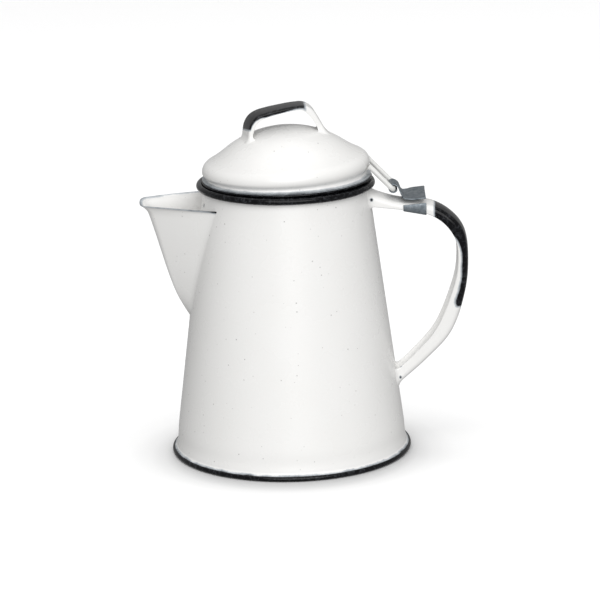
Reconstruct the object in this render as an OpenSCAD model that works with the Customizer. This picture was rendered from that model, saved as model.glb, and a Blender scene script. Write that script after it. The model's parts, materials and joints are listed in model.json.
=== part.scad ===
// Conical enamelled camp coffee percolator: pot, hinged lid and lift-out pump.
// The origin is on the pot's axis in the plane it stands on; +Z is up,
// the spout points along -X and the handle along +X. All sizes are in mm.

/* [Body] */
// Radius that the body's cone would have in the standing plane
cone_r = 72.9; // [72.7:0.05:73.1]
// Height of the middle of the rolled mouth bead
bead_z = 169.3; // [169.2:0.05:169.4]
// Thickness of the enamelled sheet
sheet = 0.9; // [0.8:0.05:1.0]
// Radius of the section of the mouth bead
bead_tube = 2.1; // [2.05:0.05:2.2]
// Outer radius of the rolled foot hem
foot_r = 75; // [74.9:0.05:75.1]

/* [Spout] */
// Height of the spout's level mouth
spout_z = 159; // [158:0.5:159.5]
// Reach of the pouring lip from the pot's axis
spout_reach = 91; // [90:0.5:92]
// Half of the spout's width where its mouth meets the body
spout_half_w = 28.5; // [26:0.5:30]
// Diameter of the strainer holes behind the spout
strainer_d = 4.5; // [3.5:0.25:5]

/* [Handle] */
// Width of the handle strap at the top
strap_w = 23; // [22:0.5:24]
// Width of the handle strap at its foot
strap_foot_w = 16; // [14:0.5:18]

/* [Hinge] */
// Distance of the hinge bar from the pot's axis
hinge_x = 66; // [65.5:0.1:66.5]
// Height of the hinge bar
hinge_z = 166; // [165.5:0.1:166.5]
// Diameter of the wire of the hinge loop
wire_d = 3; // [2.8:0.1:3.2]
// Radial clearance of the wire in the curl of the clip
wire_gap = 0.06; // [0.03:0.01:0.1]
// Width of the curl of the clip
curl_w = 16; // [14:0.5:16]
// Thickness of the galvanised sheet of the clip
clip_t = 0.8; // [0.6:0.1:0.9]

/* [Lid] */
// Largest radius of the lid's shoulder
lid_r = 51.7; // [51.5:0.05:51.9]
// How far the resting lid leans down towards the spout, in degrees
lid_lean = 2.9; // [2.7:0.05:3]
// How far the resting lid's middle lies off the pot's axis, towards the hinge
lid_x = 0.4; // [0.3:0.05:0.5]
// How far the lid handle is turned about the lid's axis, in degrees
grip_turn = 14; // [0:1:30]
// Width of the lid handle strap
grip_w = 18.5; // [16:0.5:19]

/* [Pump] */
// Outer diameter of the pump stem
stem_d = 10; // [9.9:0.05:10.1]
// Height of the top of the pump stem
stem_top = 163; // [158:1:166]
// Height of the collar that carries the coffee basket
collar_z = 96; // [90:1:98]
// Outer radius of the coffee basket under its rim
basket_r = 45; // [43:0.5:45]
// Height of the coffee basket
basket_h = 50; // [45:1:52]
// Radial clearance of the pieces that slide on the stem
slide_gap = 0.08; // [0.05:0.01:0.1]

/* [Hidden] */
$fn = 96;

taper = 0.13;                        // cone radius lost per mm of height
bead_r = cone_r - taper * bead_z + bead_tube + 0.07;
pan_step = 1.2;                      // rise of the pan's middle
pan_low = 1.0;                       // underside of the pan's outer ring
hem_tube = 1.6;                      // radius of the hem's section
hem_worn = 0.1;                      // how much the hem's underside is worn flat
hem_in = foot_r - 0.95;              // radius that the hem wraps in from
flare_r = 2.4;                       // radius of the concave flare above the hem
flare_a = 75;                        // how far the flare turns out from upright
cone_a = atan(taper);                // how far the cone leans in from upright
flange_z = pan_low + 2 * sheet + 0.05;
flare_top = flange_z + flare_r * (sin(flare_a) - sin(cone_a));
wire_r = wire_d / 2;
leg_y = 12;                          // the loop's legs lie this far off the middle
leg_bend = 3;                        // centre-line radius of the loop's corners
leg_rise = 133.8;                    // direction of the legs, degrees above +X
curl_r = wire_r + wire_gap + 1.6;    // outer radius of the curl
rest_gap = 0.05;                     // gap under pieces that rest and lift off
floor_z = pan_low + pan_step + sheet + rest_gap;
above = 175;                         // a height clear over the pot's body
stem_r = stem_d / 2;
stem_wall = 0.8;
bell_r = 28;                         // outer radius of the pump's bell foot
bell_t = 0.8;
seat_z = floor_z + 3.8;              // top of the valve's seat
collar_h = 3;
sleeve_in = stem_r + slide_gap;      // bore of the pieces that slide on the stem
sleeve_out = sleeve_in + 1.2;
basket_z = collar_z + collar_h + rest_gap;
basket_t = 0.6;
rim_z = basket_z + basket_h;
rim_r = basket_r + 1;
cover_z = rim_z - 3.5;               // underside of the spreader's sunk middle
dome_a = 37.1;                       // slope at which the lid's dome turns concave
sweep_a = 27.4;                      // slope where the concave sweep meets the shoulder
neck_a = 150;                        // how far the shoulder rolls under
dome_rad = 62.2;
sweep_rad = 73;
shoulder_rad = 6.6;
tuck_rad = 3.9;
neck_rad = 1.4;
brim_r = 52.1;                       // outer radius of the lid's brim
brim_low = -6 - sheet;               // underside of the brim below the widest level
brim_rest = 0.15;                    // gap of the brim over the bead at the spout side
brim_at = brim_r * cos(lid_lean) + brim_low * sin(lid_lean) - lid_x;
lid_z = bead_z + sqrt(pow(bead_tube, 2) - pow(bead_r - brim_at, 2)) + brim_rest
    + brim_r * sin(lid_lean) - brim_low * cos(lid_lean);

// Radius of the body's outer cone at a height.
function cone_at(z) = cone_r - taper * z;

// Points of a smooth curve through a list of points, n to each span.
function spline(p, n) = let (m = len(p) - 1) concat(
    [for (i = [0 : m - 1], k = [0 : n - 1])
        let (t = k / n, a = p[max(i - 1, 0)], b = p[i], c = p[i + 1], d = p[min(i + 2, m)])
        b + t / 2 * ((c - a) + t * ((2 * a - 5 * b + 4 * c - d) + t * (3 * b - a - 3 * c + d)))],
    [p[m]]);

function flip(list) = [for (i = [len(list) - 1 : -1 : 0]) list[i]];

// One rounded stretch of a sheet profile: from = [r, z] at slope a0, turning to slope a1.
// A slope of 0 runs outwards and 90 runs straight down. Each item is [r, z, slope].
function bend(from, rad, a0, a1, n) = let (s = a1 > a0 ? 1 : -1) [for (i = [0 : n])
    let (a = a0 + (a1 - a0) * i / n)
    [from[0] + s * rad * (sin(a) - sin(a0)), from[1] + s * rad * (cos(a) - cos(a0)), a]];

function last(list) = list[len(list) - 1];
function rest(list) = [for (i = [1 : len(list) - 1]) list[i]];

// Both faces of a sheet of thickness t whose outer face is a list of [r, z, slope].
function sheet_outline(path, t) = concat(
    [for (p = path) [p[0], p[1]]],
    [for (p = flip(path)) [max(0, p[0] - t * sin(p[2])), p[1] - t * cos(p[2])]]);

// A tube or ring about the axis, between two heights.
module ring(r_out, r_in, z0, z1) {
    rotate_extrude() polygon([[r_in, z0], [r_out, z0], [r_out, z1], [r_in, z1]]);
}

// ---- the pot ----

// Cone of rolled sheet that flares out into a flange at the foot.
module body_shell() {
    n = 8;
    foot = [for (i = [0 : n]) let (a = flare_a + (cone_a - flare_a) * i / n)
        [cone_at(flare_top) + flare_r * (cos(cone_a) - cos(a)),
         flare_top - flare_r * (sin(a) - sin(cone_a))]];
    color("whitesmoke") difference() {
        rotate_extrude() polygon(concat(
            foot,
            [[cone_at(bead_z), bead_z], [cone_at(bead_z) - sheet, bead_z],
             [cone_at(flare_top) - sheet, flare_top],
             [cone_at(flange_z) - 0.3, flange_z - sheet], [foot[0][0], flange_z - sheet]]));
        strainer_holes();
    }
}

// Rows of drilled holes through the wall behind the spout, one more hole in each row upwards.
module strainer_holes() {
    rows = 5;
    pitch = 9;
    first_z = 104;
    turn = pitch / cone_at(120) * 180 / PI;
    for (row = [0 : rows - 1], i = [0 : row])
        translate([0, 0, first_z + row * pitch * sin(60)])
            rotate([0, 90, 180 + (i - row / 2) * turn])
                cylinder(h = cone_r + 10, d = strainer_d, $fn = 32);
}

// The black bead rolled at the mouth, a hoop of curled sheet.
module rim_bead() {
    color([0.13, 0.13, 0.14]) difference() {
        translate([0, 0, bead_z]) rotate_extrude() translate([bead_r, 0]) difference() {
            circle(r = bead_tube, $fn = 48);
            circle(r = bead_tube - sheet, $fn = 48);
        }
        cylinder(h = bead_z, r1 = cone_r, r2 = cone_at(bead_z));
    }
}

// Pressed bottom with a raised middle.
module base_pan() {
    step_r = 62;
    color("whitesmoke") rotate_extrude() polygon([
        [0, pan_low + pan_step], [step_r - 2, pan_low + pan_step], [step_r, pan_low],
        [hem_in - 0.05, pan_low], [hem_in - 0.05, pan_low + sheet], [step_r + 0.5, pan_low + sheet],
        [step_r - 1.5, pan_low + pan_step + sheet], [0, pan_low + pan_step + sheet]]);
}

// Black double seam that closes the body flange over the edge of the pan.
module foot_hem() {
    inside = foot_r - 3 * hem_tube;
    color([0.13, 0.13, 0.14]) rotate_extrude() difference() {
        translate([foot_r - hem_tube, hem_tube - hem_worn]) circle(r = hem_tube, $fn = 48);
        translate([inside, -1]) square([3 * hem_tube, 1]);
        translate([inside, pan_low]) square([hem_in - inside, 2 * hem_tube]);
    }
}

// Reach of the spout's folded ridge and half of its width at the body, at a height.
function spout_ridge(z) = lookup(z, [[80, 58], [90, 63.1], [98, 67.2], [106, 71.2], [129, 78.2],
                                     [150, 84.6], [155, 86.6], [spout_z, spout_reach]]);
function spout_half(z) = lookup(z, [[80, 4], [90, 6.5], [106, 12.5], [129, 20],
                                    [spout_z, spout_half_w]]);

// One level of the spout, set in by t: flanks from inside the body to a rounded nose,
// whose radius grows upwards. The flanks lean out no further than flank_max.
function spout_level(z, t) = let (
    flank_max = 62, root = 40, n = 8,
    nose = 1.8 + (z - 80) * 0.08, half = spout_half(z), middle = spout_ridge(z) - nose,
    run = middle - sqrt(pow(cone_at(z), 2) - pow(half, 2)),
    flank = min(flank_max, acos(nose / norm([half, run])) - atan2(run, half)), r = nose - t,
    side = r / cos(flank) + (middle - root) * tan(flank))
    concat([[-root, side, z]],
           [for (i = [-n : n]) let (a = (90 - flank) * i / n)
               [-middle - r * cos(a), -r * sin(a), z]],
           [[-root, -side, z]]);

module loft(levels) {
    n = len(levels[0]);
    m = len(levels);
    polyhedron(
        points = [for (l = levels, p = l) p],
        faces = concat(
            [[for (i = [0 : n - 1]) i]],
            [[for (i = [0 : n - 1]) m * n - 1 - i]],
            [for (j = [0 : m - 2], i = [0 : n - 1])
                [j * n + i, (j + 1) * n + i, (j + 1) * n + (i + 1) % n]],
            [for (j = [0 : m - 2], i = [0 : n - 1])
                [j * n + i, (j + 1) * n + (i + 1) % n, j * n + (i + 1) % n]]),
        convexity = 4);
}

// Open beak spout, a folded sheet welded over the strainer holes.
module spout_shell() {
    steps = 18;
    foot_z = 82;
    heights = [for (i = [0 : steps]) foot_z + (spout_z - foot_z) * i / steps];
    color("whitesmoke") difference() {
        loft([for (z = heights) spout_level(z, 0)]);
        loft([for (z = heights) spout_level(z > spout_z - 1 ? z + 1 : z, sheet)]);
        cylinder(h = spout_z + 5, r1 = cone_r, r2 = cone_at(spout_z + 5));
    }
}

// ---- handle and hinge ----

// Outer face and lip edge of the strap, [x, z], from the body's top round to its foot.
strap_face = [[50, 165.2], [59, 161.4], [70, 158.4], [88, 156.4], [101, 149.9], [109.8, 138.8],
              [112.3, 122], [110.4, 100], [102, 74.5], [86.5, 56.6], [70, 41.4], [60, 33]];
strap_lips = [[50, 155.8], [59, 154.6], [70, 153.2], [85, 150.7], [96.5, 144.2], [104, 133],
              [105.3, 118], [102.2, 102], [92, 77], [78, 60.2], [67, 49.5], [58, 42]];

// Solid that keeps the strap to its width: narrow at its foot, full from full_z upwards.
module strap_taper(less) {
    low = 25;
    full_z = 140;
    wide = strap_w / 2 - less;
    narrow = strap_foot_w / 2 - less;
    rotate([90, 0, 90]) linear_extrude(height = above) polygon([
        [-narrow, low], [narrow, low], [wide, full_z], [wide, above], [-wide, above], [-wide, full_z]]);
}

// Outline of a channel's hollow, from under its face to past its lips.
function channel_inside(face, lips, t) = let (
    past = 3,
    down = [for (i = [0 : len(face) - 1]) (lips[i] - face[i]) / norm(lips[i] - face[i])])
    concat([for (i = [0 : len(face) - 1]) face[i] + down[i] * t],
           flip([for (i = [0 : len(face) - 1]) lips[i] + down[i] * past]));

// A flat shape drawn in the XZ plane, made this wide across it.
module side_plate(points, width) {
    translate([0, width / 2, 0]) rotate([90, 0, 0]) linear_extrude(height = width) polygon(points);
}

// Pressed channel strap, open towards the body.
module handle_strap() {
    face = spline(strap_face, 4);
    lips = spline(strap_lips, 4);
    color("whitesmoke") difference() {
        intersection() {
            side_plate(concat(face, flip(lips)), 2 * strap_w);
            strap_taper(0);
        }
        intersection() {
            side_plate(channel_inside(face, lips, 1.1 * sheet), 2 * strap_w);
            strap_taper(sheet);
        }
        cylinder(h = above, r1 = cone_r, r2 = cone_at(above));
    }
}

// Galvanised strip: curled round the hinge bar and wrapped round the strap, with its open
// seam on the near side, where a flap stops short of the top plate.
module hinge_clip() {
    left = 72.5;
    right = 86.5;
    rise = 1;                            // how much higher the strip is at its right edge
    top = 160.2;                         // underside of the top plate at its left edge
    flap = 156.2;                        // top of the near flap at its left edge
    band_w = strap_w + 2 * clip_t;
    band_y = (strap_w + clip_t) / 2;
    under = [for (x = [left, right]) 153.26 - 0.195 * (x - 70)];
    foot = [[right, under[1] - clip_t], [left, under[0] - clip_t]];
    color([0.45, 0.48, 0.5]) difference() {
        union() {
            translate([hinge_x, curl_w / 2, hinge_z]) rotate([90, 0, 0])
                cylinder(h = curl_w, r = curl_r, $fn = 48);
            side_plate([[hinge_x, hinge_z + curl_r - clip_t], [hinge_x, hinge_z + curl_r],
                [68.2, 168.4], [70, 166.4], [71.4, 163.4], [73, top + clip_t], [left + 1, top],
                [left, top], [70.4, 162.8], [69, 165.6], [67.6, 167.6]], curl_w);
            side_plate([[left, top], [right, top + rise], [right, top + rise + clip_t],
                [left, top + clip_t]], band_w);
            translate([0, band_y, 0])
                side_plate(concat([[left, top + 0.2], [right, top + rise + 0.2]], foot), clip_t);
            side_plate(concat([[left, under[0]], [right, under[1]]], foot), band_w);
            translate([0, -band_y, 0])
                side_plate(concat([[left, flap], [right, flap + rise]], foot), clip_t);
        }
        translate([hinge_x, curl_w, hinge_z]) rotate([90, 0, 0])
            cylinder(h = 2 * curl_w, r = wire_r + wire_gap, $fn = 48);
    }
}

// Wire loop: a bar that turns in the clip and two legs welded to the lid.
module hinge_loop() {
    bar_y = leg_y - leg_bend;
    leg_l = 24;
    color("whitesmoke") difference() {
        translate([hinge_x, 0, hinge_z]) rotate([0, -leg_rise, 0]) {
            translate([0, bar_y, 0]) rotate([90, 0, 0]) cylinder(h = 2 * bar_y, r = wire_r, $fn = 48);
            for (side = [-1, 1]) {
                translate([leg_bend, side * leg_y, 0]) rotate([0, 90, 0])
                    cylinder(h = leg_l - leg_bend, r = wire_r, $fn = 48);
                translate([leg_bend, side * bar_y, 0]) rotate([0, 0, side > 0 ? 90 : 180])
                    rotate_extrude(angle = 90) translate([leg_bend, 0]) circle(r = wire_r, $fn = 48);
            }
        }
        lid_place() lid_block();
    }
}

// ---- the lid ----

// Puts a shape made about the lid's own axis where the closed lid rests.
module lid_place() {
    translate([lid_x, 0, lid_z]) rotate([0, -lid_lean, 0]) children();
}

// Outer face of the lid, from its middle over the shoulder and in under it to the brim.
function lid_path() = let (
    dome = bend([0, 0], dome_rad, 0, dome_a, 14),
    sweep = bend(last(dome), sweep_rad, dome_a, sweep_a, 4),
    roll = bend(last(sweep), shoulder_rad, sweep_a, 90, 8),
    tuck = bend(last(roll), tuck_rad, 90, neck_a, 6),
    neck = bend(last(tuck), neck_rad, neck_a, 0, 7),
    drop = last(roll)[1], fit = lid_r / last(roll)[0],
    all = concat(dome, rest(sweep), rest(roll), rest(tuck), rest(neck)))
    concat([for (p = all) [p[0] * fit, p[1] - drop, p[2]]], [[brim_r, last(neck)[1] - drop, 0]]);

// Everything under the lid's outer face, down to its brim.
module lid_block() {
    rotate_extrude() polygon(concat([for (p = lid_path()) [p[0], p[1]]], [[0, last(lid_path())[1]]]));
}

// Pressed dome with a rolled shoulder and a narrow brim.
module lid_dome() {
    color("whitesmoke") lid_place() rotate_extrude() polygon(sheet_outline(lid_path(), sheet));
}

// Ring under the brim that centres the lid in the mouth.
module lid_skirt() {
    low = last(lid_path())[1] - sheet;
    depth = 9.5;
    skirt_t = 0.7;
    skirt_r = 48.8;
    lap_r = 51.6;                        // the welded lap under the brim reaches this far
    color("whitesmoke") lid_place() rotate_extrude() polygon([
        [skirt_r - skirt_t, low - depth], [skirt_r, low - depth], [skirt_r, low - skirt_t],
        [lap_r, low - skirt_t], [lap_r, low], [skirt_r - skirt_t, low]]);
}

// Channel strap over the lid, [along, height above the shoulder], spout end first.
module lid_handle() {
    face = spline([[-25.4, 13], [-24.3, 21], [-22.6, 28.6], [-19, 33.4], [-13, 36], [-1, 37.6],
                   [8, 38.1], [13.5, 37.5], [17.8, 34.2], [21.2, 28.2], [26.2, 18]], 4);
    lips = spline([[-22.8, 13], [-21.6, 21], [-19.7, 27], [-16.6, 30.8], [-12, 33.1], [-1, 34.9],
                   [7.2, 35.5], [11.2, 34.8], [14.8, 31.6], [18, 26.2], [22.6, 16.8]], 4);
    color("whitesmoke") difference() {
        lid_place() rotate([0, 0, grip_turn]) difference() {
            side_plate(concat(face, flip(lips)), grip_w);
            side_plate(channel_inside(face, lips, sheet), grip_w - 2 * sheet);
        }
        lid_place() lid_block();
    }
}

// ---- the lift-out pump ----

// Bell that stands on the pan and gathers the boiling water, with notches in its edge.
module stem_foot() {
    wall_h = 5;
    neck_z = floor_z + 17;
    neck_h = 6;
    neck_r = stem_r + bell_t;
    notch_r = 2;
    color("silver") difference() {
        rotate_extrude() polygon([
            [bell_r, floor_z], [bell_r, floor_z + wall_h + 0.5], [neck_r + 1, neck_z],
            [neck_r, neck_z + 0.6], [neck_r, neck_z + neck_h], [stem_r, neck_z + neck_h],
            [stem_r, neck_z - 0.5], [bell_r - bell_t, floor_z + wall_h], [bell_r - bell_t, floor_z]]);
        for (a = [30 : 60 : 330]) rotate([0, 90, a]) translate([-floor_z, 0, bell_r / 2])
            cylinder(h = bell_r, r = notch_r, $fn = 32);
    }
}

// Plate across the bell with the intake hole.
module valve_seat() {
    intake_r = 4;
    color("silver") ring(bell_r - bell_t, intake_r, seat_z - bell_t, seat_z);
}

// Loose disc that lifts off the intake hole and drops back.
module pump_valve() {
    disc_r = 8;
    color("silver") translate([0, 0, seat_z + rest_gap]) cylinder(h = bell_t, r = disc_r);
}

// Tube that carries the water up, from just over the valve's highest place.
module pump_stem() {
    valve_room = 5.2;
    color("silver") ring(stem_r, stem_r - stem_wall, seat_z + valve_room, stem_top);
}

// Ring pressed on the stem as the basket's stop.
module stem_collar() {
    color("silver") ring(stem_r + 3.5, stem_r, collar_z, collar_z + collar_h);
}

// Perforated cup that holds the ground coffee.
module coffee_basket() {
    low_r = basket_r - 3;
    floor_top = basket_z + basket_t;
    color("silver") difference() {
        rotate_extrude() polygon([
            [sleeve_out, basket_z], [low_r, basket_z], [basket_r - basket_t, rim_z - 1],
            [rim_r, rim_z - 1], [rim_r, rim_z], [basket_r - 2 * basket_t, rim_z],
            [low_r - basket_t, floor_top], [sleeve_out, floor_top]]);
        hole_rows(8, 5, 8, 2, basket_z);
    }
}

// Four rings of small holes: row n has n * count holes at radius first + n * pitch.
module hole_rows(count, first, pitch, hole_d, z) {
    for (row = [1 : 4], i = [1 : row * count])
        rotate([0, 0, i * 360 / (row * count)]) translate([first + row * pitch, 0, z - 1])
            cylinder(h = 3, d = hole_d, $fn = 16);
}

// Tube in the middle of the basket that slides on the stem.
module basket_sleeve() {
    color("silver") ring(sleeve_out, sleeve_in, basket_z, rim_z - 6);
}

// Perforated cover that spreads the water over the coffee.
module spreader_lid() {
    drop_r = basket_r - 2;
    lap = rim_z + rest_gap;
    color("silver") difference() {
        rotate_extrude() polygon([
            [sleeve_out, cover_z], [drop_r, cover_z], [drop_r, lap], [rim_r, lap],
            [rim_r, lap + basket_t], [drop_r - basket_t, lap + basket_t],
            [drop_r - basket_t, cover_z + basket_t], [sleeve_out, cover_z + basket_t]]);
        hole_rows(6, 4, 8.5, 2.4, cover_z);
    }
}

// Guide ring in the middle of the cover.
module spreader_collar() {
    color("silver") ring(sleeve_out, sleeve_in, cover_z, rim_z + 4);
}

body_shell();
rim_bead();
base_pan();
foot_hem();
spout_shell();
handle_strap();
hinge_clip();
hinge_loop();
lid_dome();
lid_skirt();
lid_handle();
stem_foot();
valve_seat();
pump_valve();
pump_stem();
stem_collar();
coffee_basket();
basket_sleeve();
spreader_lid();
spreader_collar();
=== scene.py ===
import json
import math

import bmesh
import bpy
import numpy as np
from mathutils import Matrix, Vector, noise
from mathutils.kdtree import KDTree


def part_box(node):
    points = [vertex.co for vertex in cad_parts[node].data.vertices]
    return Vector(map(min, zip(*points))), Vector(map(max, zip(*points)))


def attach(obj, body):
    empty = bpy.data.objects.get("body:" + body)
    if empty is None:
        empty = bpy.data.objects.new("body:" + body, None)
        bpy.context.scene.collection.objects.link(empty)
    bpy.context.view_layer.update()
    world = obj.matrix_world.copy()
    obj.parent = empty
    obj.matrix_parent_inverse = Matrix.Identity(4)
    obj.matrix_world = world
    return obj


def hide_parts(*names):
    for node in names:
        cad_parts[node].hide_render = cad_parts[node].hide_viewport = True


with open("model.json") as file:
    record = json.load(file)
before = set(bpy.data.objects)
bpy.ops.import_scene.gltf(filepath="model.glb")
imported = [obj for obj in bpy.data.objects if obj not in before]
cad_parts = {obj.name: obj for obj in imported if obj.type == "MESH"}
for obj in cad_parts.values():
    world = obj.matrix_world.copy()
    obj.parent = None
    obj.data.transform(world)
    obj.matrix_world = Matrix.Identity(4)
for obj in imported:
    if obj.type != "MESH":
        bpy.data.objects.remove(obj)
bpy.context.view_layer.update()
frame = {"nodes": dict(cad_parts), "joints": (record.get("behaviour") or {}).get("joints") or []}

MM = 0.001

# ---- driving sizes, as the frame has them ----
CONE_R = 72.9          # radius of the body's cone in the standing plane
TAPER = 0.13           # cone radius lost per mm of height
SHEET = 0.9            # enamelled sheet
FOOT_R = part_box("foot_hem")[1].x / MM
HEM_TUBE = 1.6
FLANGE_Z = 2.85        # top of the body's flange at the hem
BEAD_Z = (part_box("rim_bead")[0].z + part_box("rim_bead")[1].z) / 2 / MM
BEAD_TUBE = (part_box("rim_bead")[1].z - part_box("rim_bead")[0].z) / 2 / MM
BEAD_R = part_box("rim_bead")[1].x / MM - BEAD_TUBE
HINGE = next(Vector(j["pos_m"]) for j in frame["joints"] if j["name"] == "lid_hinge") / MM
LID_R = 51.7
LID_LEAN = 2.9
BRIM_LEAN = 0.8        # degrees that the lid's lower edge still leans
LID_X = 0.4
SHOULDER = 6.6
BRIM_DROP = 6.0        # top of the brim below the shoulder's widest level
BRIM_R = 52.1
GRIP_TURN = 14
GRIP_W = 18.5
STRAP_W = 23
WIRE_R = 1.5
CURL_W = 16
SPOUT_Z = 159


def cone_at(z):
    """Radius of the body's outer cone at a height."""
    return CONE_R - TAPER * z


def wall_at(z):
    """Radius of the body's wall, drawn in a little where it starts to flare to the foot."""
    return cone_at(z) - 0.4 * math.exp(-((z - 9) / 5) ** 2)


# ---- curves and mesh builders ----

def spline(points, n):
    """A smooth curve through points, n steps to each span."""
    p = np.asarray(points, float)
    m = len(p) - 1
    out = []
    for i in range(m):
        a, b, c, d = p[max(i - 1, 0)], p[i], p[i + 1], p[min(i + 2, m)]
        for t in np.arange(n) / n:
            out.append(b + t / 2 * ((c - a) + t * ((2 * a - 5 * b + 4 * c - d)
                                                  + t * (3 * b - a - 3 * c + d))))
    out.append(p[m])
    return np.array(out)


def bend(start, radius, a0, a1, n):
    """One rounded stretch of a sheet profile from [r, z], turning from slope a0 to slope a1.
    A slope of 0 runs outwards and 90 runs straight down. Each item is [r, z, slope]."""
    s = 1 if a1 > a0 else -1
    out = []
    for i in range(n + 1):
        a = a0 + (a1 - a0) * i / n
        dr = math.sin(math.radians(a)) - math.sin(math.radians(a0))
        dz = math.cos(math.radians(a)) - math.cos(math.radians(a0))
        out.append([start[0] + s * radius * dr, start[1] + s * radius * dz, a])
    return out


def sheet_normals(line):
    """Unit normals along a bent line of two-valued points."""
    step = np.gradient(line, axis=0)
    normal = np.stack([-step[:, 1], step[:, 0]], 1)
    return normal / np.linalg.norm(normal, axis=1)[:, None]


def piece(name, points, faces, sharp=35):
    """A smooth-shaded mesh object from points in mm; edges sharper than the angle stay crisp."""
    mesh = bpy.data.meshes.new(name)
    mesh.from_pydata([tuple(np.asarray(p, float) * MM) for p in points], [], faces)
    mesh.validate()
    obj = bpy.data.objects.new(name, mesh)
    bpy.context.scene.collection.objects.link(obj)
    return finish_mesh(obj, sharp)


def finish_mesh(obj, sharp=35):
    """Merges doubled points, turns the faces outwards and smooths the shading."""
    bm = bmesh.new()
    bm.from_mesh(obj.data)
    bmesh.ops.remove_doubles(bm, verts=bm.verts, dist=2e-6)
    bmesh.ops.recalc_face_normals(bm, faces=bm.faces)
    bm.to_mesh(obj.data)
    bm.free()
    obj.data.shade_smooth()
    obj.data.set_sharp_from_angle(angle=math.radians(sharp))
    return obj


def grid_faces(m, n, around, along):
    """Quads between m rows of n points."""
    faces = []
    for i in range(m if along else m - 1):
        for j in range(n if around else n - 1):
            k, l = (i + 1) % m, (j + 1) % n
            faces.append((i * n + j, i * n + l, k * n + l, k * n + j))
    return faces


def grid_piece(name, rows, around=False, along=False, sharp=35):
    """A surface through rows of points; around closes each row, along closes the column."""
    rows = np.asarray(rows, float)
    m, n = rows.shape[:2]
    return piece(name, rows.reshape(-1, 3), grid_faces(m, n, around, along), sharp)


def capped_piece(name, rows):
    """A solid through closed rows of points, with a cap on its first and last row."""
    rows = np.asarray(rows)
    m, n = rows.shape[:2]
    caps = [tuple(range(n)), tuple(range(m * n - 1, m * n - n - 1, -1))]
    return piece(name, rows.reshape(-1, 3), grid_faces(m, n, True, False) + caps, sharp=40)


def lathe(name, profile, closed=True, segments=224, sharp=35):
    """A profile of [r, z] points turned about the pot's axis."""
    turn = np.linspace(0, 2 * math.pi, segments, endpoint=False)
    rows = [[(r * math.cos(a), r * math.sin(a), z) for r, z in profile] for a in turn]
    return grid_piece(name, rows, around=closed, along=True, sharp=sharp)


def both_faces(path, thickness):
    """Outline of a sheet whose outer face is a list of [r, z, slope]."""
    inner = [[max(0.0, r - thickness * math.sin(math.radians(a))),
              z - thickness * math.cos(math.radians(a))] for r, z, a in reversed(path)]
    return [[r, z] for r, z, a in path] + inner


def tube(name, points, radius, sides=20):
    """A round wire through points, with the frame carried along it."""
    p = np.asarray(points, float)
    tangents = np.gradient(p, axis=0)
    tangents /= np.linalg.norm(tangents, axis=1)[:, None]
    side = np.cross(tangents[0], (0.3, 0.1, 1.0))
    rows = []
    for q, t in zip(p, tangents):
        side = side - t * side.dot(t)
        side /= np.linalg.norm(side)
        up = np.cross(t, side)
        rows.append([q + radius * (math.cos(a) * side + math.sin(a) * up)
                     for a in np.linspace(0, 2 * math.pi, sides, endpoint=False)])
    return grid_piece(name, rows, around=True)


def store_ink(obj, values):
    layer = obj.data.attributes.new("ink", "FLOAT", "POINT")
    layer.data.foreach_set("value", np.array(values, np.float32))


def ink(obj, rule):
    """Stores how far, in mm, each point lies inside the black enamel (negative is outside)."""
    store_ink(obj, [rule(*(np.array(v.co) / MM)) for v in obj.data.vertices])


def flow_onto(obj, distance, direction, reach):
    """Flares a piece where it meets a surface, as enamel fills the corner.
    distance(p) is the height over the surface; direction(p) is its outward normal."""
    mesh = obj.data
    normals = [v.normal.copy() for v in mesh.vertices]
    for v, normal in zip(mesh.vertices, normals):
        d = distance(v.co / MM)
        if d < reach:
            d = max(d, 0.0)
            flare = reach - math.sqrt(reach ** 2 - (reach - d) ** 2)
            up = direction(v.co / MM)
            across = normal - up * normal.dot(up)
            if across.length > 0.2:
                v.co += across.normalized() * flare * MM
    return finish_mesh(obj)


def place(obj, body, node, material):
    """Puts a piece on its body in place of a CAD node and material."""
    obj.data.materials.clear()
    obj.data.materials.append(material)
    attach(obj, body)
    if node:
        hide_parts(node)
    return obj


# ---- materials ----

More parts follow.
